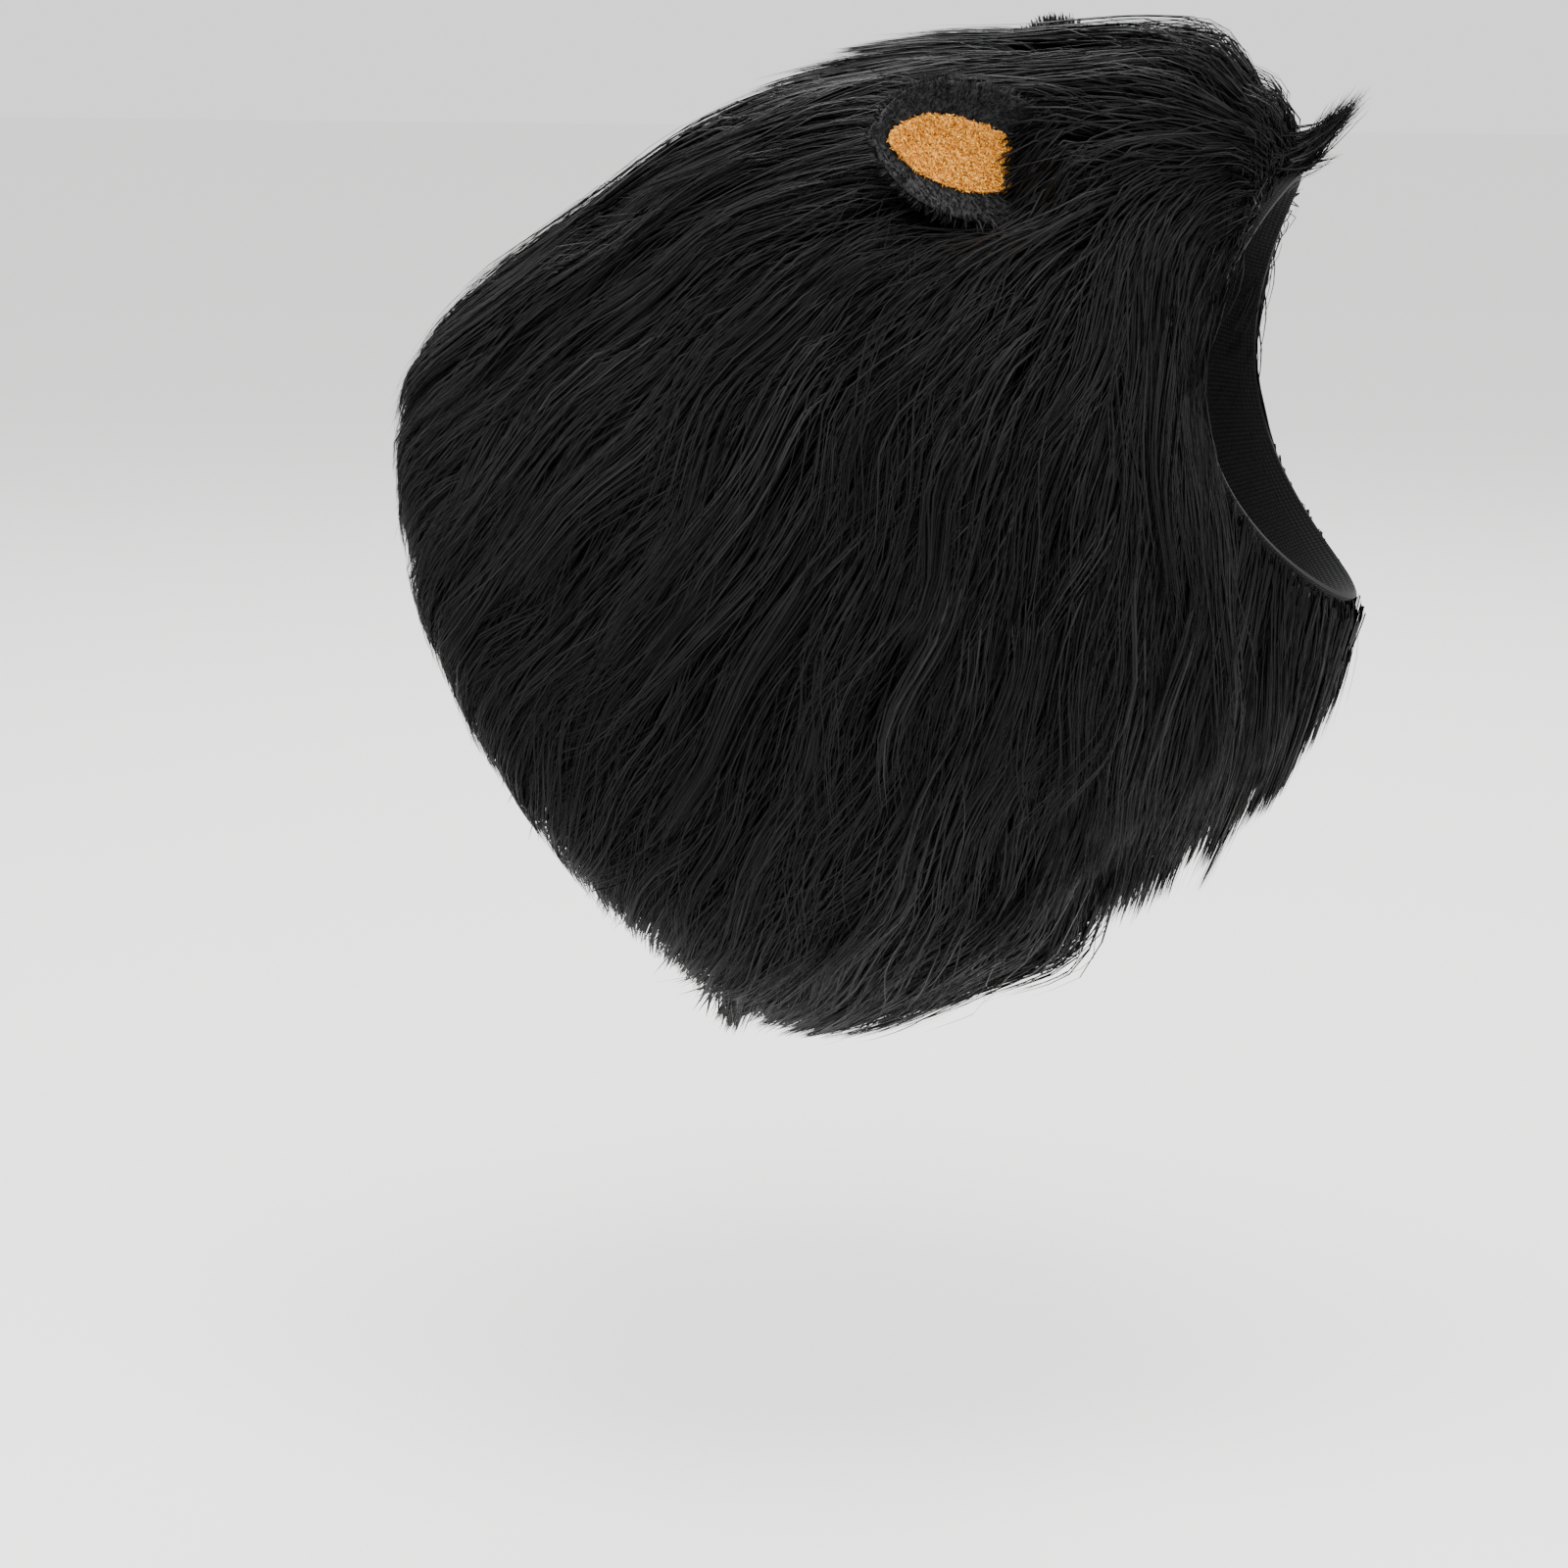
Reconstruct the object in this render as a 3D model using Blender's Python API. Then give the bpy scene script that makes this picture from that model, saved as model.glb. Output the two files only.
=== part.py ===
"""Lion mane wig for a large dog, as a pull-on hood.

A knit backing hood has a face opening and a neck opening. Long pile fur grows all over it and
hangs past its neck hem, and two plush ears with tan linings are sewn on at the crown.
Metres, +Z up, +X the way the dog looks, +Y the dog's left. The origin is on the inside of the
crown, where the hood sits on the head.
"""

import math

import bmesh
import bpy
from mathutils import Vector

# Backing hood
FACE_HEIGHT = 0.190
FACE_WIDTH = 0.144
NECK_HEIGHT = 0.271
NECK_WIDTH = 0.216
HOOD_LENGTH = 0.298
NAPE_DROP = 0.088
CHEEK_CUT = 0.044
BACKING_WALL = 0.0025
FACE_HEM = 0.004

# Pile fur
PILE_LENGTH = 0.105
SKIRT_LENGTH = 0.115
UNDERCOAT_SHARE = 0.76
PILE_CLEARANCE = 0.0007
LOCK_WIDTH = 0.042
LOCK_THICKNESS = 0.021
LOCK_TIP = 0.0022
LOCK_END = 1.47
THROAT_STRETCH = 0.45
LOCK_TWIST = 0.013
FORELOCK_LENGTH = 0.062
FORELOCK_WIDTH = 0.020

# Ears
EAR_LENGTH = 0.123
EAR_WIDTH = 0.062
EAR_WALL = 0.007
EAR_CUP = 0.016
EAR_SPREAD = 0.051
EAR_STATION = 0.32
EAR_BURIED = 0.2
EAR_CLEARANCE = 0.0008
LINING_LENGTH = 0.082
LINING_WIDTH = 0.032
LINING_MIDDLE = 0.60
LINING_THICKNESS = 0.0018
LINING_CLEARANCE = 0.0003

# Sections of the hood from the face rim (station 0) to the neck hem (station 1).
# back: share of HOOD_LENGTH behind the crown point. drop: share of NAPE_DROP under it.
# lean: degrees that the section's foot swings forward. tall and wide: share of the way from
# the face opening's height and width to the neck's. cut: share of CHEEK_CUT for the sides.
HOOD_SECTIONS = (
    {"station": 0.0, "back": -0.346, "drop": 0.284, "lean": 9.0, "tall": 0.00, "wide": 0.00, "cut": 1.00},
    {"station": 0.2, "back": -0.200, "drop": 0.060, "lean": 6.8, "tall": 0.56, "wide": 0.30, "cut": 0.68},
    {"station": 0.4, "back": 0.000, "drop": 0.000, "lean": 10.8, "tall": 0.95, "wide": 0.56, "cut": 0.45},
    {"station": 0.6, "back": 0.206, "drop": 0.090, "lean": 16.7, "tall": 1.16, "wide": 0.78, "cut": 0.23},
    {"station": 0.8, "back": 0.436, "drop": 0.455, "lean": 24.4, "tall": 1.16, "wide": 0.92, "cut": 0.10},
    {"station": 1.0, "back": 0.654, "drop": 1.000, "lean": 33.4, "tall": 1.00, "wide": 1.00, "cut": 0.00},
)
# The fur's inner side past the neck hem, where the pile hangs free.
# back and drop: share of SKIRT_LENGTH from the hem's top. grow: share of the hem's size.
# lag: share of SKIRT_LENGTH that the sides reach behind the top and bottom.
SKIRT_SECTIONS = (
    {"station": 1.2, "back": 0.65, "drop": 0.36, "lean": 33.9, "grow": 1.05, "lag": 0.27},
    {"station": 1.4, "back": 0.91, "drop": 0.64, "lean": 33.0, "grow": 1.10, "lag": 0.11},
)
# Depth of the combed pile over the hood, as shares of PILE_LENGTH.
PILE_SECTIONS = (
    {"station": 0.0, "top": 0.28, "side": 0.07, "bottom": 0.32},
    {"station": 0.1, "top": 0.49, "side": 0.34, "bottom": 0.58},
    {"station": 0.2, "top": 0.46, "side": 0.54, "bottom": 0.70},
    {"station": 0.4, "top": 0.37, "side": 0.72, "bottom": 0.77},
    {"station": 0.6, "top": 0.41, "side": 0.78, "bottom": 0.74},
    {"station": 0.8, "top": 0.48, "side": 0.80, "bottom": 0.76},
    {"station": 1.0, "top": 0.52, "side": 0.76, "bottom": 0.85},
    {"station": 1.2, "top": 0.40, "side": 0.61, "bottom": 0.64},
    {"station": 1.4, "top": 0.19, "side": 0.20, "bottom": 0.24},
)
# Tiers of locks from the face rim back. count: locks in the tier. turn: the first lock's place
# as a share of a step. run: stations that a lock covers. fall: degrees that a side lock sinks.
LOCK_TIERS = (
    {"station": 0.03, "count": 12, "turn": 0.0, "run": 0.27, "fall": 34},
    {"station": 0.18, "count": 13, "turn": 0.5, "run": 0.31, "fall": 31},
    {"station": 0.35, "count": 14, "turn": 0.2, "run": 0.34, "fall": 28},
    {"station": 0.53, "count": 14, "turn": 0.7, "run": 0.36, "fall": 24},
    {"station": 0.72, "count": 15, "turn": 0.1, "run": 0.37, "fall": 20},
    {"station": 0.91, "count": 15, "turn": 0.6, "run": 0.38, "fall": 16},
    {"station": 1.09, "count": 16, "turn": 0.3, "run": 0.38, "fall": 10},
)
# The tuft over the forehead. station and turn: its root. long: share of FORELOCK_LENGTH.
# wide: share of FORELOCK_WIDTH. rise: degrees above level ahead. aside: share of FORELOCK_WIDTH
# that its tip leans to the left.
FORELOCKS = (
    {"station": 0.06, "turn": 0.02, "long": 1.00, "wide": 1.00, "rise": 46, "aside": 0.15},
    {"station": 0.09, "turn": 0.21, "long": 0.62, "wide": 0.72, "rise": 16, "aside": -0.40},
)
# The ears as they lie. side: -1 for the dog's right and 1 for its left. axis: the way from root to tip.
# facing: the way that the cup opens. The left ear's two are mirrored, and it stands a little higher.
EARS = (
    {"name": "right", "side": -1, "axis": Vector((-0.65, -0.74, 0.2)), "facing": Vector((0.52, -0.83, 0.22))},
    {"name": "left", "side": 1, "axis": Vector((-0.61, -0.64, 0.46)), "facing": Vector((0.44, -0.9, 0.06))},
)
HOOD_RINGS = 11
HOOD_SIDES = 28
SKIRT_RINGS = 4
LOCK_RINGS = 5
EAR_SIDES = 7

BLACK_FUR = (0.012, 0.012, 0.013, 1.0)
BLACK_PLUSH = (0.016, 0.016, 0.017, 1.0)
BLACK_KNIT = (0.020, 0.020, 0.022, 1.0)
TAN_PLUSH = (0.55, 0.27, 0.075, 1.0)

ACROSS = Vector((0.0, 1.0, 0.0))


def clear_scene():
    for thing in list(bpy.data.objects):
        bpy.data.objects.remove(thing, do_unlink=True)


def finish_of(name, colour, roughness):
    material = bpy.data.materials.new(name)
    material.use_nodes = True
    shader = material.node_tree.nodes["Principled BSDF"]
    shader.inputs["Base Color"].default_value = colour
    shader.inputs["Roughness"].default_value = roughness
    shader.inputs["Metallic"].default_value = 0.0
    return material


def mix(first, second, share):
    return first + (second - first) * share


def read_table(rows, station, column):
    """A column of a table at any station, on a smooth curve through its rows."""
    last = len(rows) - 1
    place = 0
    while place < last - 1 and station > rows[place + 1]["station"]:
        place += 1
    start = rows[place]
    end = rows[place + 1]
    span = end["station"] - start["station"]
    share = (station - start["station"]) / span
    before = rows[max(place - 1, 0)]
    after = rows[min(place + 2, last)]
    slope_in = (end[column] - before[column]) / (end["station"] - before["station"]) * span
    slope_out = (after[column] - start[column]) / (after["station"] - start["station"]) * span
    square = share * share
    cube = square * share
    return (
        (2 * cube - 3 * square + 1) * start[column]
        + (cube - 2 * square + share) * slope_in
        + (3 * square - 2 * cube) * end[column]
        + (cube - square) * slope_out
    )


def hood_row(row):
    """One hood section in metres: its top point, lean, height, width and how far its sides lie back."""
    return {
        "station": row["station"],
        "top_x": -row["back"] * HOOD_LENGTH,
        "top_z": -row["drop"] * NAPE_DROP,
        "lean": row["lean"],
        "height": mix(FACE_HEIGHT, NECK_HEIGHT, row["tall"]),
        "width": mix(FACE_WIDTH, NECK_WIDTH, row["wide"]),
        "sides": row["cut"] * CHEEK_CUT,
    }


def skirt_row(row, hem):
    return {
        "station": row["station"],
        "top_x": hem["top_x"] - row["back"] * SKIRT_LENGTH,
        "top_z": hem["top_z"] - row["drop"] * SKIRT_LENGTH,
        "lean": row["lean"],
        "height": hem["height"] * row["grow"],
        "width": hem["width"] * row["grow"],
        "sides": row["lag"] * SKIRT_LENGTH,
    }


def all_sections():
    hood = [hood_row(row) for row in HOOD_SECTIONS]
    return hood + [skirt_row(row, hood[-1]) for row in SKIRT_SECTIONS]


SECTIONS = all_sections()


def outward(station, turn):
    """The way out of the hood at this turn round it: turn 0 is the top and pi the bottom."""
    lean = math.radians(read_table(SECTIONS, station, "lean"))
    up = Vector((-math.sin(lean), 0.0, math.cos(lean)))
    return up * math.cos(turn) - ACROSS * math.sin(turn)


def hood_point(station, turn, lift=0.0):
    """A point on the hood's inner surface, or lift metres outside it."""
    lean = math.radians(read_table(SECTIONS, station, "lean"))
    up = Vector((-math.sin(lean), 0.0, math.cos(lean)))
    behind = Vector((-math.cos(lean), 0.0, -math.sin(lean)))
    half_height = read_table(SECTIONS, station, "height") / 2
    half_width = read_table(SECTIONS, station, "width") / 2
    top = Vector((read_table(SECTIONS, station, "top_x"), 0.0, read_table(SECTIONS, station, "top_z")))
    middle = top - up * half_height
    ring = up * (half_height + lift) * math.cos(turn) - ACROSS * (half_width + lift) * math.sin(turn)
    return middle + ring + behind * read_table(SECTIONS, station, "sides") * math.sin(turn) ** 2


def pile_depth(station, turn):
    """How deep the combed pile lies over the hood."""
    top = read_table(PILE_SECTIONS, station, "top")
    side = read_table(PILE_SECTIONS, station, "side")
    bottom = read_table(PILE_SECTIONS, station, "bottom")
    height = math.cos(turn)
    end = top if height > 0 else bottom
    return PILE_LENGTH * (end * height**2 + side * (1 - height**2))


def pile_point(station, turn, share):
    """A point in the fur: share 0 is on the backing and share 1 on the fur's outer form."""
    base = BACKING_WALL + PILE_CLEARANCE
    return hood_point(station, turn, base + pile_depth(station, turn) * share)


def ring_turns(count):
    return [2 * math.pi * step / count for step in range(count)]


def object_of(name, mesh, material):
    thing = bpy.data.objects.new(name, mesh)
    bpy.context.scene.collection.objects.link(thing)
    thing.data.materials.append(material)
    return thing


def mesh_of(name, points, faces):
    mesh = bpy.data.meshes.new(name)
    mesh.from_pydata(points, [], faces)
    shape = bmesh.new()
    shape.from_mesh(mesh)
    bmesh.ops.recalc_face_normals(shape, faces=shape.faces)
    shape.to_mesh(mesh)
    shape.free()
    return mesh


def tube_mesh(name, loops):
    """A closed ring of loops, each joined to the next and the last to the first."""
    sides = len(loops[0])
    points = [point for loop in loops for point in loop]
    faces = []
    for row in range(len(loops)):
        after = (row + 1) % len(loops)
        for side in range(sides):
            beside = (side + 1) % sides
            here = row * sides
            there = after * sides
            faces.append((here + side, here + beside, there + beside, there + side))
    return mesh_of(name, points, faces)


def rod_mesh(name, loops):
    """A rod through the loops, with its two ends closed."""
    sides = len(loops[0])
    points = [point for loop in loops for point in loop]
    faces = [tuple(range(sides)), tuple(range(len(points) - sides, len(points)))]
    for row in range(len(loops) - 1):
        for side in range(sides):
            beside = (side + 1) % sides
            here = row * sides
            there = here + sides
            faces.append((here + side, here + beside, there + beside, there + side))
    return mesh_of(name, points, faces)


def smooth_shade(thing, degrees=50):
    thing.data.shade_smooth()
    thing.data.set_sharp_from_angle(angle=math.radians(degrees))


def hood_stations():
    return [step / (HOOD_RINGS - 1) for step in range(HOOD_RINGS)]


def make_backing(material):
    """The knit hood: one wall, with a turned hem at the face rim."""
    stations = hood_stations()
    turns = ring_turns(HOOD_SIDES)
    outer = [[hood_point(station, turn, BACKING_WALL) for turn in turns] for station in stations]
    inner = [[hood_point(station, turn) for turn in turns] for station in reversed(stations)]
    lip = [[hood_point(0.0, turn, BACKING_WALL / 2) + Vector((FACE_HEM, 0, 0)) for turn in turns]]
    thing = object_of("backing", tube_mesh("backing", lip + outer + inner), material)
    smooth_shade(thing)
    return thing


def make_undercoat(material):
    """The dense lower pile, from the face rim to the end of the free skirt."""
    free = SECTIONS[-1]["station"] - 1.0
    stations = hood_stations() + [1.0 + free * step / SKIRT_RINGS for step in range(1, SKIRT_RINGS + 1)]
    turns = ring_turns(HOOD_SIDES)
    outer = [[pile_point(station, turn, UNDERCOAT_SHARE) for turn in turns] for station in stations]
    inner = [[pile_point(station, turn, 0.0) for turn in turns] for station in reversed(stations)]
    return object_of("mane_fur", tube_mesh("mane_fur", outer + inner), material)


def lock_loop(centre, along, out, half_width, half_thickness):
    side = along.cross(out).normalized()
    rise = side.cross(along).normalized()
    return [
        centre + side * half_width,
        centre + rise * half_thickness,
        centre - side * half_width,
        centre - rise * half_thickness,
    ]


def lock_path(station, turn, run, fall):
    """The middle line of one lock, from its root deep in the undercoat to its tip in the open."""
    reach = min(run * (1 + THROAT_STRETCH * math.sin(turn / 2) ** 2), LOCK_END - station)
    path = []
    for step in range(LOCK_RINGS + 1):
        share = step / LOCK_RINGS
        here = station + reach * share
        sink = math.radians(fall) * math.sin(turn) * share
        lift = math.sin(math.pi / 2 * min(1.0, share * 1.3))
        centre = pile_point(here, turn + sink, mix(UNDERCOAT_SHARE - 0.40, 0.93, lift))
        path.append((centre, outward(here, turn + sink)))
    return path


def lock_mesh(name, path, width, thickness):
    loops = []
    last = len(path) - 1
    for step, (centre, out) in enumerate(path):
        before = path[max(step - 1, 0)][0]
        after = path[min(step + 1, last)][0]
        share = step / last
        swell = math.sin(math.pi * (0.24 + 0.76 * share)) ** 0.8 if share < 1 else 0.0
        half_width = max(width / 2 * swell, LOCK_TIP)
        half_thickness = max(thickness / 2 * swell, LOCK_TIP * 0.8)
        loops.append(lock_loop(centre, (after - before).normalized(), out, half_width, half_thickness))
    return rod_mesh(name, loops)


def forelock_path(row):
    """One tip of the tuft that stands up and forward over the forehead."""
    root = pile_point(row["station"], row["turn"], 0.2)
    rise = math.radians(row["rise"])
    reach = Vector((math.cos(rise), row["aside"] * FORELOCK_WIDTH / FORELOCK_LENGTH, math.sin(rise)))
    out = Vector((-math.sin(rise), 0.0, math.cos(rise)))
    length = FORELOCK_LENGTH * row["long"]
    path = []
    for step in range(LOCK_RINGS):
        share = step / (LOCK_RINGS - 1)
        curl = out * -0.10 * length * math.sin(math.pi * share)
        path.append((root + reach * length * share + curl, out))
    return path


def ear_frame(ear):
    """The ear's root on the backing, and its long, facing and wide axes."""
    turn = math.asin(EAR_SPREAD / (read_table(SECTIONS, EAR_STATION, "width") / 2))
    root = hood_point(EAR_STATION, turn)
    along = ear["axis"].normalized()
    facing = (ear["facing"] - along * ear["facing"].dot(along)).normalized()
    mirror = Vector((1.0, -ear["side"], 1.0))
    root = root * mirror
    along = along * mirror
    facing = facing * mirror
    return root, along, facing, along.cross(facing) * -ear["side"]


# The ear's outline from its root to its tip. along: share of EAR_LENGTH. half: half width as a
# share of EAR_WIDTH. cup: share of EAR_CUP that the rims stand forward of the middle.
EAR_SECTIONS = (
    {"station": 0.00, "half": 0.20, "cup": 0.30},
    {"station": 0.12, "half": 0.24, "cup": 0.45},
    {"station": 0.28, "half": 0.42, "cup": 0.85},
    {"station": 0.44, "half": 0.49, "cup": 1.00},
    {"station": 0.62, "half": 0.50, "cup": 1.00},
    {"station": 0.78, "half": 0.46, "cup": 0.90},
    {"station": 0.90, "half": 0.36, "cup": 0.70},
    {"station": 0.97, "half": 0.22, "cup": 0.50},
    {"station": 1.00, "half": 0.08, "cup": 0.40},
)


def ear_point(frame, station, across, lift):
    """A point of the ear. across runs from -1 to 1 over its width and lift is in front of its middle."""
    root, along, facing, wide = frame
    half = read_table(EAR_SECTIONS, station, "half") * EAR_WIDTH
    cup = read_table(EAR_SECTIONS, station, "cup") * EAR_CUP
    curl = cup * across * across
    lean_back = EAR_CUP * 0.5 * math.sin(math.pi * station)
    return root + along * EAR_LENGTH * station + wide * half * across + facing * (curl - lean_back + lift)


def ear_mesh(name, ear, grow, open_cup=0.0):
    """The ear, or a copy grown on all sides. open_cup clears that much space over the visible face."""
    frame = ear_frame(ear)
    loops = []
    for row in EAR_SECTIONS:
        station = row["station"]
        thin = 1.0 if station < 0.9 else 0.75
        front = []
        back = []
        for step in range(EAR_SIDES):
            across = -1 + 2 * step / (EAR_SIDES - 1)
            edge = 1 - 0.55 * abs(across) ** 3
            lift = EAR_WALL / 2 * thin * edge + grow
            spread = across * (1 + grow / (row["half"] * EAR_WIDTH))
            back.append(ear_point(frame, station, spread, -lift))
            if station > EAR_BURIED:
                lift += open_cup
            front.append(ear_point(frame, station, spread, lift))
        loops.append(front + back[::-1])
    if grow:
        along = frame[1]
        loops[0] = [point - along * grow for point in loops[0]]
        loops[-1] = [point + along * grow for point in loops[-1]]
    return rod_mesh(name, loops)


def hood_core():
    """The space that the hood takes up, closed at both ends, to trim what is sewn on to its curve."""
    turns = ring_turns(HOOD_SIDES)
    lift = BACKING_WALL + EAR_CLEARANCE
    ahead = Vector((3 * FACE_HEM, 0.0, 0.0))
    loops = [[hood_point(0.0, turn, lift) + ahead for turn in turns]]
    loops += [[hood_point(station, turn, lift) for turn in turns] for station in hood_stations()]
    return helper(rod_mesh("hood_core", loops), "hood_core")


def make_ear(ear, core, material):
    name = "ear_" + ear["name"]
    thing = object_of(name, ear_mesh(name, ear, 0.0), material)
    combine(thing, core, "DIFFERENCE")
    smooth_shade(thing)
    return thing


def make_lining(ear, material):
    """The tan oval laid in the ear's cup."""
    name = "ear_lining_" + ear["name"]
    frame = ear_frame(ear)
    rings = 7
    columns = 5
    loops = []
    for step in range(rings):
        place = -1 + 2 * step / (rings - 1)
        station = LINING_MIDDLE + place * LINING_LENGTH / 2 / EAR_LENGTH
        half = max(math.sqrt(max(1 - place * place, 0.0)), 0.16) * LINING_WIDTH / 2
        reach = half / (read_table(EAR_SECTIONS, station, "half") * EAR_WIDTH)
        front = []
        back = []
        for column in range(columns):
            across = reach * (-1 + 2 * column / (columns - 1))
            top = EAR_WALL / 2 + LINING_CLEARANCE + LINING_THICKNESS
            back.append(ear_point(frame, station, across, 0.0))
            front.append(ear_point(frame, station, across, top))
        loops.append(front + back[::-1])
    thing = object_of(name, rod_mesh(name, loops), material)
    seat = helper(ear_mesh("seat", ear, LINING_CLEARANCE), "seat_" + name)
    combine(thing, seat, "DIFFERENCE")
    smooth_shade(thing)
    return thing


def near_ear(path):
    """True where a lock would run into an ear."""
    margin = LOCK_WIDTH / 4
    for ear in EARS:
        root, along, facing, wide = ear_frame(ear)
        for centre, _ in path:
            reach = centre - root
            station = reach.dot(along) / EAR_LENGTH
            if not -margin < station * EAR_LENGTH < EAR_LENGTH + margin:
                continue
            half = read_table(EAR_SECTIONS, min(max(station, 0.0), 1.0), "half") * EAR_WIDTH
            aside = abs(reach.dot(wide)) < half + margin
            ahead = reach.dot(facing)
            if aside and -EAR_CUP - LOCK_THICKNESS / 2 < ahead < EAR_CUP + 2 * LOCK_THICKNESS:
                return True
    return False


def clear_path(tier, turn):
    """A lock's path, shortened where it must stop before an ear, or None where an ear is in its place."""
    for part in (1.0, 0.75, 0.5):
        path = lock_path(tier["station"], turn, tier["run"] * part, tier["fall"])
        if not near_ear(path):
            return path
    return None


def helper(mesh, name):
    """A cutter or a lock that is only used up by a Boolean."""
    thing = bpy.data.objects.new(name, mesh)
    bpy.context.scene.collection.objects.link(thing)
    thing.hide_render = True
    thing.display_type = "WIRE"
    return thing


def combine(thing, tool, operation):
    change = thing.modifiers.new(tool.name, "BOOLEAN")
    change.operation = operation
    change.solver = "EXACT"
    change.use_self = True
    change.object = tool


def make_fur(core, material):
    """The undercoat with the tiers of locks and the forelock joined on, and pockets for the ears."""
    fur = make_undercoat(material)
    locks = bmesh.new()
    for tier in LOCK_TIERS:
        step = 2 * math.pi / tier["count"]
        for place in range(tier["count"]):
            turn = step * (place + tier["turn"]) + LOCK_TWIST
            path = clear_path(tier, turn)
            if path is None:
                continue
            mesh = lock_mesh("lock", path, LOCK_WIDTH, LOCK_THICKNESS)
            locks.from_mesh(mesh)
            bpy.data.meshes.remove(mesh)
    for row in FORELOCKS:
        wide = FORELOCK_WIDTH * row["wide"]
        locks.from_mesh(lock_mesh("forelock", forelock_path(row), wide, wide * 0.7))
    joined = bpy.data.meshes.new("locks")
    locks.to_mesh(joined)
    locks.free()
    all_locks = helper(joined, "locks")
    combine(all_locks, core, "DIFFERENCE")
    combine(fur, all_locks, "UNION")
    for ear in EARS:
        pocket = helper(ear_mesh("pocket", ear, EAR_CLEARANCE, EAR_CUP), "pocket_" + ear["name"])
        combine(fur, pocket, "DIFFERENCE")
    return fur


def main():
    clear_scene()
    fur = finish_of("black_long_pile", BLACK_FUR, 0.55)
    plush = finish_of("black_plush", BLACK_PLUSH, 0.9)
    knit = finish_of("black_knit", BLACK_KNIT, 0.85)
    tan = finish_of("tan_plush", TAN_PLUSH, 0.9)
    core = hood_core()
    make_backing(knit)
    make_fur(core, fur)
    for ear in EARS:
        make_ear(ear, core, plush)
        make_lining(ear, tan)


main()
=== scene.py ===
import math

import bpy
import numpy as np
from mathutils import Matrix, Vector
from mathutils.kdtree import KDTree


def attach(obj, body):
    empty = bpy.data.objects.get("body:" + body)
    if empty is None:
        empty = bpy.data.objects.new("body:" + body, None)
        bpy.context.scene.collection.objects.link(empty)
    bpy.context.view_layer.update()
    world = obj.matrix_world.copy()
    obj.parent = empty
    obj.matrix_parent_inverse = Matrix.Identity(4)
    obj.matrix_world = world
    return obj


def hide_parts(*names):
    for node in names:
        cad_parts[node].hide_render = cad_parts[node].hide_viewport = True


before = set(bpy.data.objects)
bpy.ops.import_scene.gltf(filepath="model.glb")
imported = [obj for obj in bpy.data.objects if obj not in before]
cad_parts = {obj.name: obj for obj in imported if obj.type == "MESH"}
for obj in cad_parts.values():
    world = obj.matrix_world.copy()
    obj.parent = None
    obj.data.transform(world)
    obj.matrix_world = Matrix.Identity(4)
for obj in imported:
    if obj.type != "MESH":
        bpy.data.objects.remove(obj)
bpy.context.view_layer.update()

# The backing hood
# A stretch hood knitted in black yarn and sewn up under the throat. It carries all the fur, goes round
# the head with its face opening turned back as a hem, and is open at the neck.

FACE_HEIGHT = 0.190
FACE_WIDTH = 0.144
NECK_HEIGHT = 0.271
NECK_WIDTH = 0.216
HOOD_LENGTH = 0.298
NAPE_DROP = 0.088
CHEEK_CUT = 0.044
BACKING_WALL = 0.0025
FACE_HEM = 0.004
FACE_HEM_END = 0.03
SKIRT_LENGTH = 0.115

# station, back and drop of the section's top, lean in degrees, then its height, width and cheek cut
# as shares of the way from the face opening to the neck opening.
HOOD_SECTIONS = (
    (0.0, -0.346, 0.284, 9.0, 0.00, 0.00, 1.00),
    (0.2, -0.200, 0.060, 6.8, 0.56, 0.30, 0.68),
    (0.4, 0.000, 0.000, 10.8, 0.95, 0.56, 0.45),
    (0.6, 0.206, 0.090, 16.7, 1.16, 0.78, 0.23),
    (0.8, 0.436, 0.455, 24.4, 1.16, 0.92, 0.10),
    (1.0, 0.654, 1.000, 33.4, 1.00, 1.00, 0.00),
)
# station, back and drop in skirt lengths from the neck hem, lean, growth of the hem and lag of the sides.
SKIRT_SECTIONS = (
    (1.2, 0.65, 0.36, 33.9, 1.05, 0.27),
    (1.4, 0.91, 0.64, 33.0, 1.10, 0.11),
)


def hood_sections():
    """Each section in metres: station, top x, top z, lean, height, width, and how far its sides lie back."""
    rows = []
    for station, back, drop, lean, tall, wide, cut in HOOD_SECTIONS:
        height = FACE_HEIGHT + (NECK_HEIGHT - FACE_HEIGHT) * tall
        width = FACE_WIDTH + (NECK_WIDTH - FACE_WIDTH) * wide
        rows.append((station, -back * HOOD_LENGTH, -drop * NAPE_DROP, lean, height, width, cut * CHEEK_CUT))
    _, hem_x, hem_z, _, hem_height, hem_width, _ = rows[-1]
    for station, back, drop, lean, grow, lag in SKIRT_SECTIONS:
        top_x = hem_x - back * SKIRT_LENGTH
        top_z = hem_z - drop * SKIRT_LENGTH
        rows.append((station, top_x, top_z, lean, hem_height * grow, hem_width * grow, lag * SKIRT_LENGTH))
    return np.array(rows)


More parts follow.
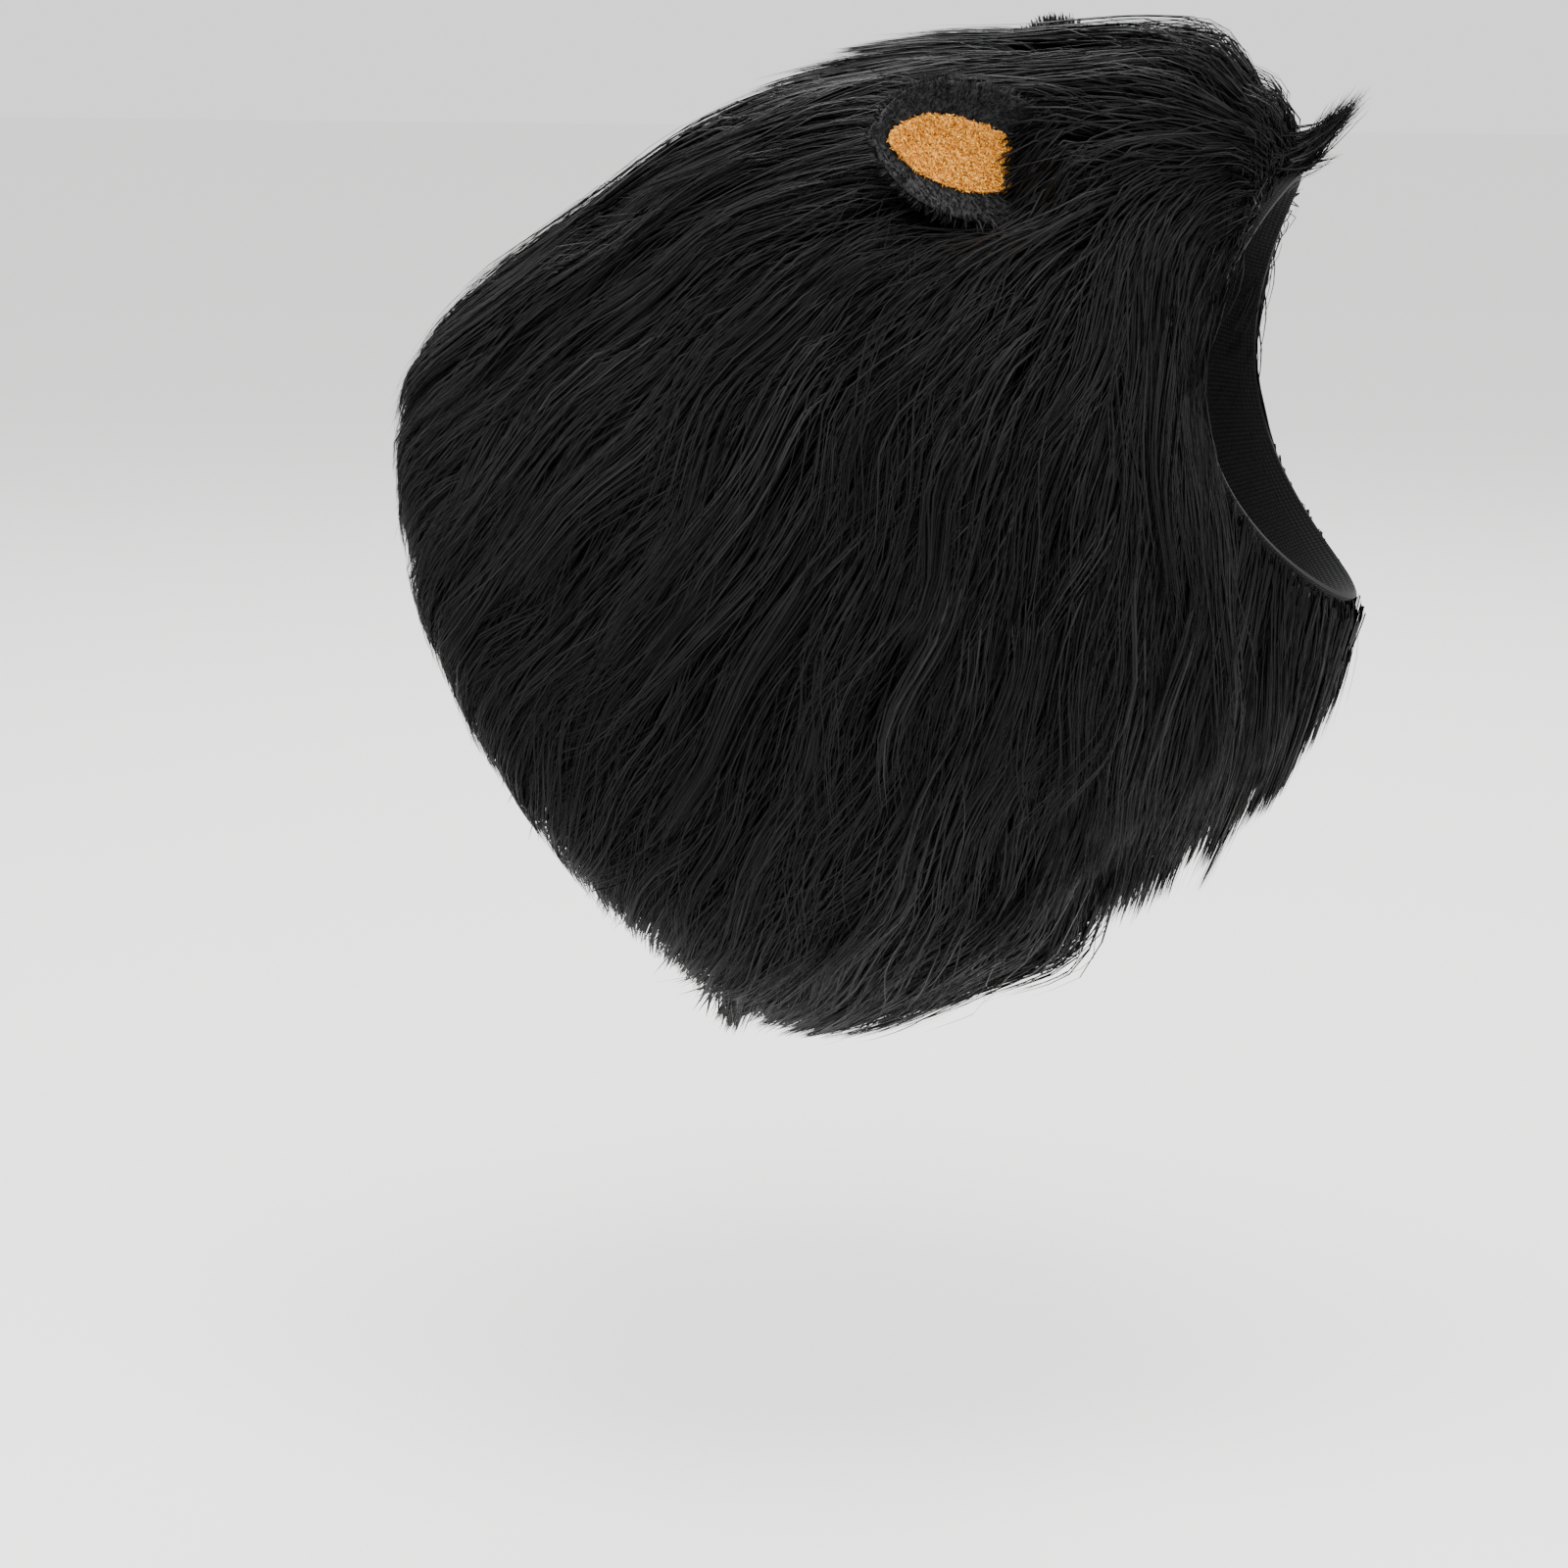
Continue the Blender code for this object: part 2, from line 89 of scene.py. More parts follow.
def smooth_columns(table, stations):
    """All columns of a table at these stations, on a smooth curve through its rows."""
    knots = table[:, 0]
    last = len(knots) - 1
    place = np.clip(np.searchsorted(knots, stations, side="left") - 1, 0, last - 1)
    before = np.maximum(place - 1, 0)
    after = np.minimum(place + 2, last)
    span = (knots[place + 1] - knots[place])[:, None]
    share = ((stations - knots[place])[:, None]) / span
    start = table[place, 1:]
    end = table[place + 1, 1:]
    slope_in = (end - table[before, 1:]) / (knots[place + 1] - knots[before])[:, None] * span
    slope_out = (table[after, 1:] - start) / (knots[after] - knots[place])[:, None] * span
    square = share * share
    cube = square * share
    return (
        (2 * cube - 3 * square + 1) * start
        + (cube - 2 * square + share) * slope_in
        + (3 * square - 2 * cube) * end
        + (cube - square) * slope_out
    )


FINE_STATIONS = np.linspace(-0.04, 1.52, 400)
HOOD_FORM = smooth_columns(hood_sections(), FINE_STATIONS)


def read_form(form, column, station):
    """One column of a form, at these stations."""
    return np.interp(station, FINE_STATIONS, form[:, column])


def hood_points(station, turn, lift):
    """Points on the hood's inner surface, or lift metres outside it. Turn 0 is the top."""
    top_x = read_form(HOOD_FORM, 0, station)
    top_z = read_form(HOOD_FORM, 1, station)
    lean = np.radians(read_form(HOOD_FORM, 2, station))
    half_height = read_form(HOOD_FORM, 3, station) / 2
    half_width = read_form(HOOD_FORM, 4, station) / 2
    sides = read_form(HOOD_FORM, 5, station) * np.sin(turn) ** 2
    rise = (half_height + lift) * np.cos(turn) - half_height
    x = top_x - np.sin(lean) * rise - np.cos(lean) * sides
    y = -(half_width + lift) * np.sin(turn)
    z = top_z + np.cos(lean) * rise - np.sin(lean) * sides
    return np.stack([x, y, z], axis=-1)


def rolled_grid(name, around, along, shape):
    """A grid rolled into a tube. shape places each vertex from its turn and its share along the tube."""
    bpy.ops.object.select_all(action="DESELECT")
    bpy.ops.mesh.primitive_grid_add(x_subdivisions=around, y_subdivisions=along, size=2, calc_uvs=True)
    piece = bpy.context.object
    piece.name = name
    piece.data.name = name
    flat = np.empty(len(piece.data.vertices) * 3)
    piece.data.vertices.foreach_get("co", flat)
    flat = flat.reshape(-1, 3)
    places = shape((flat[:, 0] + 1) * math.pi, (flat[:, 1] + 1) / 2)
    piece.data.vertices.foreach_set("co", places.ravel())
    bpy.ops.object.mode_set(mode="EDIT")
    bpy.ops.mesh.select_all(action="SELECT")
    bpy.ops.mesh.remove_doubles(threshold=0.00001)
    bpy.ops.mesh.normals_make_consistent(inside=False)
    bpy.ops.object.mode_set(mode="OBJECT")
    bpy.ops.object.shade_smooth()
    return piece


def linear(code):
    """A hex colour, as seen on screen, turned to the linear values that shaders take."""
    channels = [int(code[place : place + 2], 16) / 255 for place in (1, 3, 5)]
    turned = [c / 12.92 if c <= 0.04045 else ((c + 0.055) / 1.055) ** 2.4 for c in channels]
    return (*turned, 1.0)


def add_node(tree, kind, settings=(), links=()):
    """One shader node with its settings, its sockets' values and what feeds them."""
    node = tree.nodes.new(kind)
    for name, value in dict(settings).items():
        if isinstance(name, str) and hasattr(node, name):
            setattr(node, name, value)
        else:
            node.inputs[name].default_value = value
    for name, source in dict(links).items():
        tree.links.new(source, node.inputs[name])
    return node


def new_finish(name, roughness, sheen, specular):
    """A dyed fibre finish with its shader, which has the sheen and gloss of the whole surface."""
    material = bpy.data.materials.new(name)
    material.use_nodes = True
    shader = material.node_tree.nodes["Principled BSDF"]
    shader.inputs["Roughness"].default_value = roughness
    shader.inputs["IOR"].default_value = 1.54
    shader.inputs["Specular IOR Level"].default_value = specular
    shader.inputs["Sheen Weight"].default_value = sheen
    shader.inputs["Sheen Roughness"].default_value = 0.45
    return material, material.node_tree, shader


def set_stops(node, stops):
    """The colours of a colour ramp, as (place, hex) pairs."""
    ramp = node.color_ramp
    while len(ramp.elements) < len(stops):
        ramp.elements.new(1.0)
    for element, (place, code) in zip(ramp.elements, stops):
        element.position = place
        element.color = linear(code)


def paint(tree, shader, value, stops, strength, depth):
    """Colours a surface by a pattern's value, and raises it in the same pattern by depth in metres. As the
    colour runs with the height, the low places take the dark end: painted shade in the hollows and painted
    light on the raised places.
    """
    colour = add_node(tree, "ShaderNodeValToRGB", (), {"Fac": value})
    set_stops(colour, stops)
    bump = add_node(tree, "ShaderNodeBump", {"Strength": strength, "Distance": depth}, {"Height": value})
    tree.links.new(colour.outputs[0], shader.inputs["Base Color"])
    tree.links.new(bump.outputs[0], shader.inputs["Normal"])


def pattern(tree, kind, settings, vector):
    """A texture's value over a surface, from where that surface is."""
    return add_node(tree, kind, settings, {"Vector": vector}).outputs[0]


def dress(piece, material, slot, *nodes):
    """Puts a finish on a piece, seats it on the hood's one body and hides the solids it stands for."""
    piece.data.materials.clear()
    piece.data.materials.append(material)
    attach(piece, "root")
    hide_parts(*nodes)


def bands_of(spacing):
    """The Wave Texture scale that gives bands this many metres apart."""
    return 2 * math.pi / (20 * spacing)


# Jersey knit of black acrylic yarn: matt, with fine columns of stitches and a little sheen.
# The columns are 1.6 mm apart on such a knit, and drawn 2.4 mm apart so that they show.
KNIT_COLUMN = 0.0024
KNIT_ROW = 0.0019
HOOD_ROUND = 0.72
HOOD_ALONG = 0.30


def knit_finish():
    """Black jersey knit, raised in columns and rows of stitches, with painted shade between the stitches,
    where its colour darkens with their height.
    """
    material, tree, shader = new_finish("black_jersey_knit", 0.9, 0.05, 0.2)
    places = add_node(tree, "ShaderNodeTexCoord").outputs["UV"]
    size = {"Scale": (HOOD_ROUND, HOOD_ALONG, 1.0)}
    scaled = add_node(tree, "ShaderNodeMapping", size, {"Vector": places}).outputs[0]
    columns = {"bands_direction": "X", "Scale": bands_of(KNIT_COLUMN)}
    rows = {"bands_direction": "Y", "Scale": bands_of(KNIT_ROW), "Distortion": 1.2, "Detail": 1.0}
    columns = pattern(tree, "ShaderNodeTexWave", columns, scaled)
    rows = pattern(tree, "ShaderNodeTexWave", rows, scaled)
    stitch = add_node(tree, "ShaderNodeMath", {"operation": "MULTIPLY"}, {0: columns, 1: rows}).outputs[0]
    # Painted shade: the knit's colour darkens in the low places between the stitches, following their bump.
    paint(tree, shader, stitch, ((0.0, "#050506"), (1.0, "#18181a")), 0.7, 0.0006)
    return material


def backing_shape(turn, share):
    """The middle of the knit wall, with the hem standing forward at the face."""
    places = hood_points(share, turn, BACKING_WALL / 2)
    places[:, 0] += FACE_HEM * np.clip(1 - share / FACE_HEM_END, 0, 1)
    return places


backing = rolled_grid("knit_backing", 112, 60, backing_shape)
wall = backing.modifiers.new("wall", "SOLIDIFY")
wall.thickness = BACKING_WALL
wall.offset = 0.0
bpy.ops.object.modifier_apply(modifier="wall")
bpy.ops.object.shade_smooth_by_angle(angle=math.radians(50))
dress(backing, knit_finish(), "knit_backing", "backing")

# The undercoat
# The dense lower pile of the fur fabric: short black fibres matted together, which close the gaps
# between the long hairs. It grows on the backing's outer side and thins out past the neck hem.

PILE_LENGTH = 0.105
PILE_CLEARANCE = 0.0007
# The undercoat's lie as a share of the pile's depth, what the brow adds and the cheeks take away. Then, in
# stations, where it ends, how ragged its end is, how far it thins out, and how far the front goes.
UNDERCOAT_SHARE = 0.50
UNDERCOAT_BROW = 0.22
UNDERCOAT_CHEEK = 0.16
UNDERCOAT_END = 1.32
UNDERCOAT_RAGGED = 0.09
UNDERCOAT_THIN = 0.32
UNDERCOAT_FRONT = 0.2
UNDERCOAT_LUMPS = 0.10
# station, then the pile's depth at the top, the sides and the bottom as shares of PILE_LENGTH.
PILE_SECTIONS = (
    (0.0, 0.28, 0.07, 0.32),
    (0.1, 0.49, 0.34, 0.58),
    (0.2, 0.46, 0.54, 0.70),
    (0.4, 0.37, 0.72, 0.77),
    (0.6, 0.41, 0.78, 0.74),
    (0.8, 0.48, 0.80, 0.76),
    (1.0, 0.52, 0.76, 0.85),
    (1.2, 0.40, 0.61, 0.64),
    (1.4, 0.19, 0.20, 0.24),
)
PILE_FORM = smooth_columns(np.array(PILE_SECTIONS), FINE_STATIONS)


def pile_depth(station, turn):
    """How deep the combed fur lies over the hood."""
    height = np.cos(turn)
    end = np.where(height > 0, read_form(PILE_FORM, 0, station), read_form(PILE_FORM, 2, station))
    side = read_form(PILE_FORM, 1, station)
    return PILE_LENGTH * (end * height**2 + side * (1 - height**2))


def fur_points(station, turn, share):
    """Points in the fur: share 0 is on the backing and share 1 on the fur's outer form."""
    return hood_points(station, turn, BACKING_WALL + PILE_CLEARANCE + pile_depth(station, turn) * share)


# The ears stand in the fur, so their places come before the fur that parts round them.
EAR_LENGTH = 0.123
EAR_WIDTH = 0.062
EAR_SPREAD = 0.051
EAR_STATION = 0.32
# side: -1 for the dog's right and 1 for its left. Axis from root to tip and the way that the cup opens
# are given as on the dog's right.
EARS = {
    "right": {"side": -1, "axis": Vector((-0.65, -0.74, 0.2)), "facing": Vector((0.52, -0.83, 0.22))},
    "left": {"side": 1, "axis": Vector((-0.61, -0.64, 0.46)), "facing": Vector((0.44, -0.9, 0.06))},
}
# station from root to tip, and half width as a share of EAR_WIDTH.
EAR_OUTLINE = (
    (0.00, 0.20),
    (0.12, 0.24),
    (0.28, 0.42),
    (0.44, 0.49),
    (0.62, 0.50),
    (0.78, 0.46),
    (0.90, 0.36),
    (0.97, 0.22),
    (1.00, 0.08),
)


def ear_axes(ear):
    """The ear's root on the backing and its long, facing and wide axes."""
    half_width = read_form(HOOD_FORM, 4, EAR_STATION) / 2
    turn = math.asin(EAR_SPREAD / half_width)
    root = hood_points(np.array([EAR_STATION]), np.array([turn]), 0.0)[0]
    along = ear["axis"].normalized()
    facing = (ear["facing"] - along * ear["facing"].dot(along)).normalized()
    mirror = np.array([1.0, -ear["side"], 1.0])
    along = np.array(along) * mirror
    facing = np.array(facing) * mirror
    return root * mirror, along, facing, np.cross(along, facing) * -ear["side"]


def ear_places(points, ear):
    """Where points lie by an ear: station along it, across in half widths, and metres ahead of it."""
    root, along, facing, wide = ear_axes(ear)
    reach = points - root
    station = reach @ along / EAR_LENGTH
    outline = np.array(EAR_OUTLINE)
    half = np.interp(station, outline[:, 0], outline[:, 1]) * EAR_WIDTH
    return station, reach @ wide / half, reach @ facing


# The stations of an ear from which undercoat and hair keep clear of it, and the station at which they stop.
# Then how far behind and ahead of it in metres, how far beside it in half widths, and what share of its
# lie fur keeps each time that it meets the ear.
EAR_BARE_FROM = 0.10
EAR_CLEAR_FROM = 0.37
EAR_CLEAR_TO = 1.12
EAR_CLEAR_BEHIND = 0.005
EAR_CLEAR_AHEAD = 0.045
EAR_CLEAR_BESIDE = 1.08
EAR_DIP = 0.8


def meets_ear(points, clear_from):
    """True for points inside an ear or over its open face, from this station of the ear to its tip."""
    met = np.zeros(len(points), dtype=bool)
    for ear in EARS.values():
        station, across, ahead = ear_places(points, ear)
        beside = (station > clear_from) & (station < EAR_CLEAR_TO) & (np.abs(across) < EAR_CLEAR_BESIDE)
        met |= beside & (ahead > -EAR_CLEAR_BEHIND) & (ahead < EAR_CLEAR_AHEAD)
    return met


def undercoat_shape(turn, share):
    """Out along the top of the undercoat from the face rim to its end, and back along the backing."""
    out = share < 0.5
    way = np.where(out, share * 2, 2 - share * 2)
    end = UNDERCOAT_END - UNDERCOAT_RAGGED * (0.5 + 0.5 * np.sin(turn * 24 + 2 * np.sin(turn * 7)))
    station = way * end
    thin = np.clip((end - station) / UNDERCOAT_THIN, 0, 1) ** 0.5
    matted = np.sin(turn * 31 + 3 * np.sin(station * 17)) * np.sin(station * 23 + 2 * np.sin(turn * 9))
    front = np.clip(1 - station / UNDERCOAT_FRONT, 0, 1)
    high = np.clip(np.cos(turn), 0, 1)
    lie = UNDERCOAT_SHARE + front * (UNDERCOAT_BROW * high - UNDERCOAT_CHEEK * (1 - high))
    lie = np.where(out, lie * thin * (1 + UNDERCOAT_LUMPS * matted), 0.0)
    for _ in range(9):
        met = meets_ear(fur_points(station, turn, lie), EAR_BARE_FROM)
        lie = np.where(met, lie * EAR_DIP, lie)
    return fur_points(station, turn, lie)


def undercoat_finish():
    """Matted black acrylic pile, streaked along the hood as its fibres run back from the face, with painted
    shade in the grooves between the streaks, where its colour darkens with their height.
    """
    material, tree, shader = new_finish("matted_black_pile", 0.85, 0.0, 0.2)
    places = add_node(tree, "ShaderNodeTexCoord").outputs["UV"]
    scaled = add_node(tree, "ShaderNodeMapping", {"Scale": (420.0, 14.0, 1.0)}, {"Vector": places}).outputs[0]
    streaks = pattern(tree, "ShaderNodeTexNoise", {"Scale": 1.0, "Detail": 3.0}, scaled)
    # Painted shade: the pile's colour darkens in the grooves between the streaks, following their bump.
    paint(tree, shader, streaks, ((0.3, "#040404"), (0.8, "#101011")), 0.8, 0.002)
    return material


undercoat = rolled_grid("fur_undercoat", 150, 130, undercoat_shape)
dress(undercoat, undercoat_finish(), "long_pile", "mane_fur")

# The long fur
# Long straight acrylic hair, dyed black, rooted all over the backing and combed back from the face. It
# falls over the sides, hangs free under the throat, and bunches into soft waving locks with thin tips.

# The fall's steepest angle in degrees and what each metre ahead adds to it, then the height below which
# it steepens and the depth over which it does, in metres.
FALL_MOST = 76.8
FALL_AHEAD = 98.0
FALL_TOP = 0.030
FALL_DEPTH = 0.080
COMB_STEPS = 26
LOCK_COUNT = 980
LONGEST_HAIR = 0.195
# In layers for each step, how fast hair climbs and sinks. Then how freely it has to hang to leave the
# fur, the first and last stations it may reach, and how firmly and from where the hem holds it down.
CLIMB_MOST = 0.10
SINK_MOST = 0.02
FREE_HANG = 0.15
FIRST_STATION = -0.033
LAST_STATION = 1.5
HEM_HOLD = 0.75
HEM_FROM = 0.80
HEM_OVER = 0.25
COMB_BACK = 0.8


def unit(vectors):
    """The vectors, each made one long."""
    return vectors / np.maximum(np.linalg.norm(vectors, axis=-1, keepdims=True), 1e-9)


def soft_step(share):
    """A share from 0 to 1, eased in and out."""
    share = np.clip(share, 0, 1)
    return share * share * (3 - 2 * share)


def fall_at(points):
    """The way hair falls when nothing is under it: back over the crown, and steeper further down."""
    depth = np.maximum(FALL_TOP - points[:, 2], 0)
    angle = np.radians((FALL_MOST + FALL_AHEAD * points[:, 0]) * (1 - np.exp(-depth / FALL_DEPTH)))
    return np.stack([-np.cos(angle), np.zeros_like(angle), -np.sin(angle)], axis=-1)


def comb(roots, locks):
    """Grows hairs through the fur from their roots, each with its own row of values in locks.

    A hair climbs from its start to its top layer and lies there. Where the fur's form turns under, it
    hangs straight down instead until it comes out of the fur, though less so near the neck hem. It dips
    under an ear that is in its way.
    """
    count = len(roots)
    station = roots[:, 0].copy()
    turn = roots[:, 1].copy()
    layer = locks["start"].copy()
    points = np.empty((count, COMB_STEPS + 1, 3))
    outs = np.empty_like(points)
    reach = np.full(count, float(COMB_STEPS))
    pace = locks["length"] / COMB_STEPS
    small = 0.002
    for step in range(COMB_STEPS + 1):
        share = step / COMB_STEPS
        here = fur_points(station, turn, layer)
        for _ in range(3):
            met = meets_ear(here, EAR_CLEAR_FROM)
            layer = np.where(met, layer * EAR_DIP, layer)
            here = fur_points(station, turn, layer)
        along = (fur_points(station + small, turn, layer) - here) / small
        around = (fur_points(station, turn + small, layer) - here) / small
        out = unit(np.cross(along, around))
        fall = fall_at(here)
        outward = np.sum(fall * out, axis=-1)
        flat = fall - out * outward[:, None]
        size = np.linalg.norm(flat, axis=-1)
        hang = np.clip(outward, 0, 1) * (1 - HEM_HOLD * soft_step((station - HEM_FROM) / HEM_OVER))
        kept = COMB_BACK * (1 - size) ** 2 * (outward < 0)
        way = unit(flat + unit(along) * kept[:, None])
        waved = np.sin(2 * math.pi * share * locks["length"] / locks["wave"] + locks["phase"])
        steer = locks["drift"] + locks["bend"] * waved + locks["curl"] * share**3
        way = way * np.cos(steer)[:, None] + np.cross(out, way) * np.sin(steer)[:, None]
        points[:, step] = here
        outs[:, step] = out
        free = (layer > locks["lid"]) & (hang > FREE_HANG)
        stopped = (station > locks["end"]) | (station < FIRST_STATION) | met | free
        reach = np.where(stopped & (reach == COMB_STEPS), np.maximum(step - 1, 0.5), reach)
        tall = np.sum(along * along, axis=-1)
        cross = np.sum(along * around, axis=-1)
        broad = np.sum(around * around, axis=-1)
        way_along = np.sum(along * way, axis=-1)
        way_around = np.sum(around * way, axis=-1)
        area = tall * broad - cross**2
        speed = pace * (1 - (1 - size) * np.clip(4 * hang, 0, 1))
        target = locks["start"] + (locks["top"] - locks["start"]) * soft_step(share / locks["rise"])
        target = target + locks["lift"] * share**2
        climb = np.clip(target - layer, -SINK_MOST, CLIMB_MOST)
        layer = layer + climb * (1 - hang) + hang * pace / np.maximum(pile_depth(station, turn), 0.01)
        station = station + (broad * way_along - cross * way_around) / area * speed
        turn = turn + (tall * way_around - cross * way_along) / area * speed
        station = np.clip(station, FIRST_STATION - 0.002, LAST_STATION)
    return points, outs, reach


def resample(values, reach, count):
    """The first reach steps of each hair, shared out evenly over count points."""
    places = np.linspace(0, 1, count)[None, :] * reach[:, None]
    low = np.minimum(places.astype(int), COMB_STEPS - 1)
    part = (places - low)[..., None]
    rows = np.arange(len(values))[:, None]
    return values[rows, low] * (1 - part) + values[rows, low + 1] * part


EDGE_LEAN = math.radians(52)


def ribbon_mesh(name, points, outs, widths, tones, roll):
    """Hairs as tapered ribbons in one mesh, shaded as if round.

    Their UV map holds the tone across and root to tip upwards.
    """
    count, rings, _ = points.shape
    tangents = unit(np.gradient(points, axis=1))
    across = unit(np.cross(tangents, outs))
    faced = np.cross(across, tangents)
    turned = across * np.cos(roll)[:, None, None] + faced * np.sin(roll)[:, None, None]
    faced = np.cross(turned, tangents)
    half = turned * widths[..., None] / 2
    left = points - half
    right = points + half
    pairs = np.stack([left[:, :-1], right[:, :-1]], axis=2).reshape(count, -1, 3)
    corners = np.concatenate([pairs, points[:, -1:]], axis=1)
    lean = math.sin(EDGE_LEAN)
    level = math.cos(EDGE_LEAN)
    left_way = faced[:, :-1] * level - turned[:, :-1] * lean
    right_way = faced[:, :-1] * level + turned[:, :-1] * lean
    ways = np.stack([left_way, right_way], axis=2).reshape(count, -1, 3)
    ways = np.concatenate([ways, faced[:, -1:]], axis=1)
    per = 2 * (rings - 1) + 1
    base = (np.arange(count) * per)[:, None]
    quads = np.array([(2 * row, 2 * row + 1, 2 * row + 3, 2 * row + 2) for row in range(rings - 2)]).ravel()
    tip = np.array([2 * rings - 4, 2 * rings - 3, 2 * rings - 2])
    order = np.concatenate([quads, tip])
    loops = (base + order[None, :]).ravel()
    face_sizes = np.array([4] * (rings - 2) + [3])
    starts = np.concatenate([[0], np.cumsum(np.tile(face_sizes, count))[:-1]])
    heights = np.append(np.repeat(np.arange(rings - 1), 2), rings - 1) / (rings - 1)
    sides = np.append(np.tile([-1.0, 1.0], rings - 1), 0.0) * 0.0012
    uv = np.empty((count, len(order), 2))
    uv[..., 0] = np.clip(tones[:, None] * 0.99 + 0.005 + sides[order][None, :], 0, 1)
    uv[..., 1] = (heights[order] * 0.99 + 0.005)[None, :]
    mesh = bpy.data.meshes.new(name)
    mesh.vertices.add(count * per)
    mesh.vertices.foreach_set("co", corners.ravel())
    mesh.loops.add(len(loops))
    mesh.loops.foreach_set("vertex_index", loops.astype(np.int32))
    mesh.polygons.add(len(starts))
    mesh.polygons.foreach_set("loop_start", starts.astype(np.int32))
    mesh.polygons.foreach_set("use_smooth", np.ones(len(starts), dtype=bool))
    mesh.uv_layers.new(name="OFBake").data.foreach_set("uv", uv.ravel())
    mesh.update(calc_edges=True)
    mesh.normals_split_custom_set_from_vertices(unit(ways).reshape(-1, 3).tolist())
    piece = bpy.data.objects.new(name, mesh)
    bpy.context.scene.collection.objects.link(piece)
    return piece


def hair_finish(name, stops, roughness):
    """Dyed fibre with a soft streaky gloss. Each hair has its own tone, and is painted darker towards its
    root as shade, where it lies under the other fibres.
    """
    material, tree, shader = new_finish(name, roughness, 0.0, 0.09)
    coordinates = add_node(tree, "ShaderNodeUVMap", {"uv_map": "OFBake"})
    parts = add_node(tree, "ShaderNodeSeparateXYZ", (), {0: coordinates.outputs[0]})
    tone = add_node(tree, "ShaderNodeValToRGB", (), {"Fac": parts.outputs["X"]})
    set_stops(tone, stops)
    # Painted shade: the colour falls to about a twelfth at the root and comes up to full about a third of the
    # way to the tip.
    shade = add_node(tree, "ShaderNodeValToRGB", (), {"Fac": parts.outputs["Y"]})
    set_stops(shade, ((0.0, "#505050"), (0.35, "#ffffff")))
    colour = add_node(
        tree,
        "ShaderNodeMix",
        {"data_type": "RGBA", "blend_type": "MULTIPLY", 0: 1.0},
        {6: tone.outputs[0], 7: shade.outputs[0]},
    )
    tree.links.new(colour.outputs[2], shader.inputs["Base Color"])
    return material


draw = np.random.default_rng(20)


def scattered_roots(count, first, last):
    """Roots spread evenly by the area of the fur's outer form, as station and turn pairs."""
    station = draw.uniform(first, last, count * 6)
    turn = draw.uniform(-math.pi, math.pi, count * 6)
    small = 0.004
    here = fur_points(station, turn, 0.8)
    along = fur_points(station + small, turn, 0.8) - here
    around = fur_points(station, turn + small, 0.8) - here
    area = np.linalg.norm(np.cross(along, around), axis=-1)
    luck = draw.uniform(0, 1, len(area)) ** (area.mean() / np.maximum(area, 1e-12))
    kept = np.argsort(luck)[::-1][:count]
    return np.stack([station[kept], turn[kept]], axis=-1)


def swell(points, size, seed):
    """A smooth value from about -1 to 1 that drifts over the fur, in waves of this size in metres."""
    own = np.random.default_rng(seed)
    total = np.zeros(len(points))
    for _ in range(5):
        total += np.sin(points @ (own.normal(0, 1, 3) * 2 * math.pi / size / 1.7) + own.uniform(0, 6.3))
    return total / 2.4


ROOT_LAYER = 0.42
lock_roots = scattered_roots(LOCK_COUNT, -0.02, 1.16)
lock_places = fur_points(lock_roots[:, 0], lock_roots[:, 1], 1.0)
over = 0.5 + 0.5 * np.cos(lock_roots[:, 1])
ahead = np.clip(1 - lock_roots[:, 0] / 0.12, 0, 1)
low_down = soft_step((lock_roots[:, 0] - 0.45) / 0.4)
lock_swell = 0.09 * swell(lock_places, 0.05, 3)
lock_wild = draw.uniform(0, 1, LOCK_COUNT) ** 3
locks = {
    "start": ROOT_LAYER + ahead * (0.06 + 0.24 * over),
    "length": LONGEST_HAIR * draw.uniform(0.72, 1.0, LOCK_COUNT) * (1 + 0.30 * low_down),
    "top": np.clip(0.90 + lock_swell + draw.uniform(-0.07, 0.07, LOCK_COUNT), 0.70, 1.02),
    "rise": 0.30 - 0.16 * over * ahead - 0.06 * over,
    "lift": draw.uniform(-0.06, 0.10, LOCK_COUNT) + 0.10 * lock_wild,
    "bend": np.radians(draw.uniform(6, 14, LOCK_COUNT) + 14 * lock_wild),
    "wave": draw.uniform(0.085, 0.140, LOCK_COUNT),
    "phase": 2.6 * swell(lock_places, 0.12, 5) + draw.uniform(-0.8, 0.8, LOCK_COUNT),
    "drift": np.radians(6.0 * swell(lock_places, 0.08, 6) + draw.uniform(-5, 5, LOCK_COUNT)),
    "curl": np.radians(draw.normal(0, 14, LOCK_COUNT)),
    "end": draw.uniform(1.33, 1.46, LOCK_COUNT),
    "lid": draw.uniform(0.88, 1.08, LOCK_COUNT) + 0.16 * lock_wild,
}
lock_pulls = draw.uniform(0.35, 0.85, LOCK_COUNT)
lock_tones = draw.uniform(-0.14, 0.14, LOCK_COUNT)
lock_points, lock_outs, lock_reach = comb(lock_roots, locks)
finder = KDTree(LOCK_COUNT)
for number, place in enumerate(lock_places):
    finder.insert(place, number)
finder.balance()

# Hairs of each layer: how many, rings each, width, lowest and highest lie, how strongly locks draw
# them in, and how far each strays, in degrees.
HAIR_LAYERS = {
    "low": {"count": 10500, "rings": 8, "width": 0.0016, "lie": (0.62, 0.86), "pull": 0.5, "stray": 4},
    "main": {"count": 25000, "rings": 10, "width": 0.00105, "lie": (0.84, 1.00), "pull": 1.0, "stray": 3},
    "fine": {"count": 5500, "rings": 12, "width": 0.0006, "lie": (0.95, 1.09), "pull": 0.6, "stray": 7},
}


